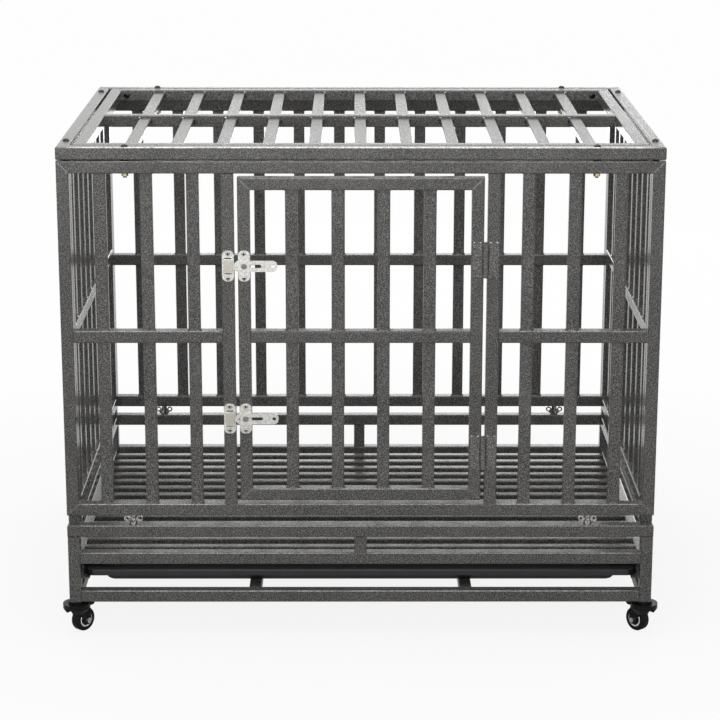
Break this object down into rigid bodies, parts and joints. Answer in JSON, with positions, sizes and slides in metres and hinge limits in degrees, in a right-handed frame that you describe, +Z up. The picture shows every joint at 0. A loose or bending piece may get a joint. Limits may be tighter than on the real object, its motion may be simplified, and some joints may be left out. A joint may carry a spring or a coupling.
{
  "type": "dog crate",
  "caption": "Welded square-tube dog crate on a caster base, with a hinged barred front door, slide latches, a bar floor and a slide-out tray.",
  "frame": {"origin": "on the floor under the middle of the crate's bounding box", "axes": "+X to the right along the width, seen from the door side; +Y from the door to the back; +Z up"},
  "size_m": [0.984, 0.694, 0.8173],
  "materials": {
    "grey_paint": "hammered dark grey, semi-gloss",
    "bright_zinc": "bright zinc plate",
    "brass": "yellow zinc, dull",
    "tray_plastic": "black, slightly textured",
    "black_plastic": "black, satin",
    "wheel_plastic": "black tread with a grey ring on each face"
  },
  "bodies": {
    "frame": {"roof_rim_long_rails": "grey_paint", "roof_rim_side_rails": "grey_paint", "roof_panel_rails": "grey_paint", "roof_panel_sides": "grey_paint", "roof_bars": "grey_paint", "roof_panel_bolts": "bright_zinc", "roof_spacers": "black_plastic", "roof_bolts": "bright_zinc", "roof_nuts": "brass", "front_posts": "grey_paint", "front_rails": "grey_paint", "front_bars": "grey_paint", "back_posts": "grey_paint", "back_rails": "grey_paint", "back_bars": "grey_paint", "side_posts": "grey_paint", "side_rails": "grey_paint", "side_bars": "grey_paint", "hinge_jamb_leaves": "grey_paint", "hinge_pins": "grey_paint", "upper_keeper": "bright_zinc", "lower_keeper": "bright_zinc", "keeper_screws": "bright_zinc", "base_legs": "grey_paint", "base_long_rails": "grey_paint", "base_side_rails": "grey_paint", "base_centre_posts": "grey_paint", "base_cross_tubes": "grey_paint", "tray_runners": "grey_paint", "grid_sides": "grey_paint", "grid_bars": "grey_paint", "wing_studs": "bright_zinc", "wing_nuts": "bright_zinc", "caster_stems": "black_plastic"},
    "door": {"door_stiles": "grey_paint", "door_rails": "grey_paint", "door_bars": "grey_paint", "hinge_door_leaves": "grey_paint", "upper_latch_plate": "bright_zinc", "lower_latch_plate": "bright_zinc", "latch_screws": "bright_zinc", "upper_stud": "bright_zinc", "lower_stud": "bright_zinc"},
    "upper_slide": {"upper_slide": "bright_zinc"},
    "lower_slide": {"lower_slide": "bright_zinc"},
    "tray": {"tray": "tray_plastic"},
    "caster_front_left": {"fork_front_left": "black_plastic", "axle_front_left": "bright_zinc"},
    "roller_front_left": {"wheel_front_left": "wheel_plastic"},
    "brake_front_left": {"pedal_front_left": "black_plastic"},
    "caster_front_right": {"fork_front_right": "black_plastic", "axle_front_right": "bright_zinc"},
    "roller_front_right": {"wheel_front_right": "wheel_plastic"},
    "brake_front_right": {"pedal_front_right": "black_plastic"},
    "caster_rear_left": {"fork_rear_left": "black_plastic", "axle_rear_left": "bright_zinc"},
    "roller_rear_left": {"wheel_rear_left": "wheel_plastic"},
    "caster_rear_right": {"fork_rear_right": "black_plastic", "axle_rear_right": "bright_zinc"},
    "roller_rear_right": {"wheel_rear_right": "wheel_plastic"}
  },
  "joints": [
    {"name": "door_swing", "type": "hinge", "parent": "frame", "child": "door", "pos_m": [0.19825, -0.33915, 0.499], "axis": [0, 0, 1], "range_deg": [0, 170]},
    {"name": "upper_latch_slide", "type": "slide", "parent": "door", "child": "upper_slide", "axis": [-1, 0, 0], "range_m": [0, 0.025]},
    {"name": "lower_latch_slide", "type": "slide", "parent": "door", "child": "lower_slide", "axis": [-1, 0, 0], "range_m": [0, 0.025]},
    {"name": "tray_slide", "type": "slide", "parent": "frame", "child": "tray", "axis": [0, -1, 0], "range_m": [0, 0.56]},
    {"name": "swivel_front_left", "type": "hinge", "parent": "frame", "child": "caster_front_left", "pos_m": [-0.47, -0.325, 0.0477], "axis": [0, 0, 1], "continuous": true},
    {"name": "roll_front_left", "type": "hinge", "parent": "caster_front_left", "child": "roller_front_left", "pos_m": [-0.461, -0.31428, 0.02], "axis": [-0.766, 0.6428, 0], "continuous": true},
    {"name": "brake_front_left_press", "type": "hinge", "parent": "caster_front_left", "child": "brake_front_left", "pos_m": [-0.45329, -0.30508, 0.0477], "axis": [-0.766, 0.6428, 0], "range_deg": [0, 20]},
    {"name": "swivel_front_right", "type": "hinge", "parent": "frame", "child": "caster_front_right", "pos_m": [0.47, -0.325, 0.0477], "axis": [0, 0, 1], "continuous": true},
    {"name": "roll_front_right", "type": "hinge", "parent": "caster_front_right", "child": "roller_front_right", "pos_m": [0.461, -0.31428, 0.02], "axis": [-0.766, -0.6428, 0], "continuous": true},
    {"name": "brake_front_right_press", "type": "hinge", "parent": "caster_front_right", "child": "brake_front_right", "pos_m": [0.45329, -0.30508, 0.0477], "axis": [-0.766, -0.6428, 0], "range_deg": [0, 20]},
    {"name": "swivel_rear_left", "type": "hinge", "parent": "frame", "child": "caster_rear_left", "pos_m": [-0.47, 0.325, 0.0477], "axis": [0, 0, 1], "continuous": true},
    {"name": "roll_rear_left", "type": "hinge", "parent": "caster_rear_left", "child": "roller_rear_left", "pos_m": [-0.461, 0.31428, 0.02], "axis": [0.766, 0.6428, 0], "continuous": true},
    {"name": "swivel_rear_right", "type": "hinge", "parent": "frame", "child": "caster_rear_right", "pos_m": [0.47, 0.325, 0.0477], "axis": [0, 0, 1], "continuous": true},
    {"name": "roll_rear_right", "type": "hinge", "parent": "caster_rear_right", "child": "roller_rear_right", "pos_m": [0.461, 0.31428, 0.02], "axis": [0.766, -0.6428, 0], "continuous": true}
  ]
}
